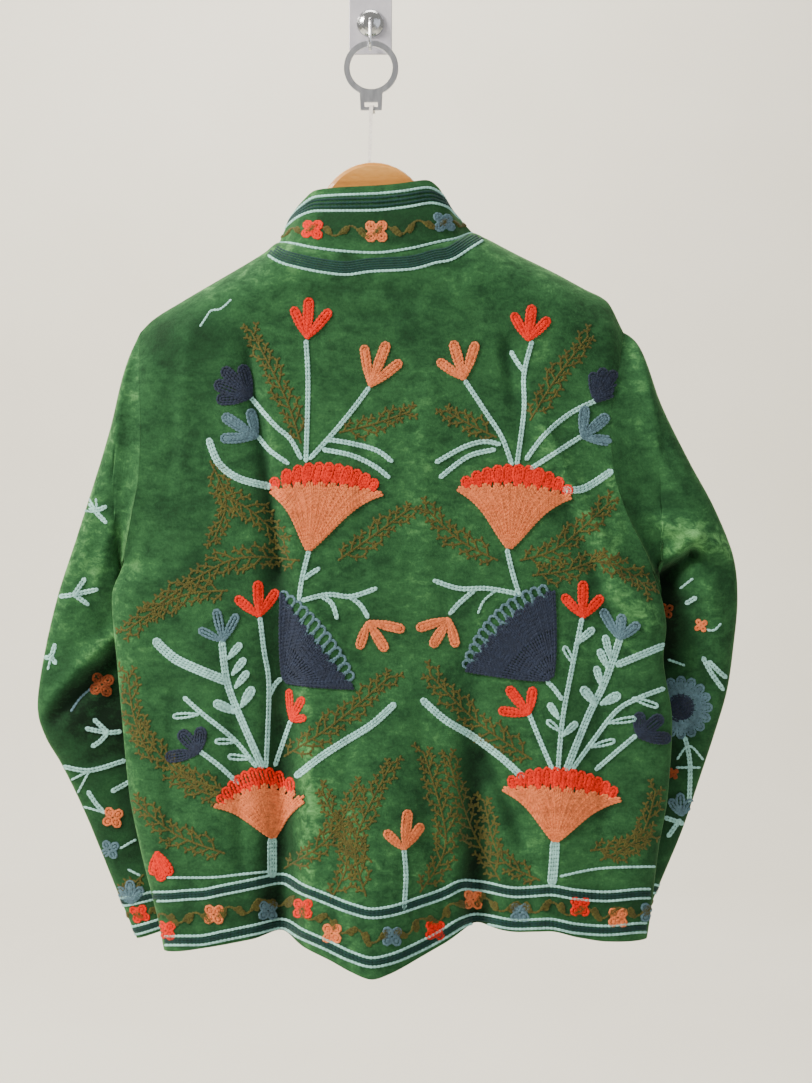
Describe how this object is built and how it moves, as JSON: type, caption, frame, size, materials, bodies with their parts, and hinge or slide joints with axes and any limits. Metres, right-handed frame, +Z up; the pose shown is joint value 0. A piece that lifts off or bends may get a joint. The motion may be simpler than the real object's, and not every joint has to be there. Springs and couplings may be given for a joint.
{
  "type": "suzani jacket on a wooden hanger with a wall hook",
  "caption": "Embroidered velvet suzani jacket with a stand collar, hung back side out on a wooden hanger by a strap, a ring and a stick-on wall hook.",
  "frame": {"origin": "the middle of the wall plate's back face, where the hook sticks to the wall", "axes": "+Y into the wall, -Y into the room on the side that shows the jacket's back, +Z up, +X to the right as seen from the room"},
  "size_m": [0.7318, 0.1419, 1.0512],
  "materials": {
    "velvet": "mottled green cotton velvet with chain-stitch embroidery",
    "beech": "lacquered beech",
    "chromed steel": "polished chrome",
    "grey plastic": "grey plastic",
    "brushed steel": "flat grey metal",
    "white cotton": "woven tape"
  },
  "bodies": {
    "root": {"back": "velvet", "front_left": "velvet", "front_right": "velvet", "sleeve_left": "velvet", "sleeve_right": "velvet", "collar": "velvet", "hanger": "beech", "hook_dome": "chromed steel", "hook_wire": "chromed steel", "ring": "brushed steel", "strap": "white cotton", "wall_plate": "grey plastic"}
  },
  "joints": []
}
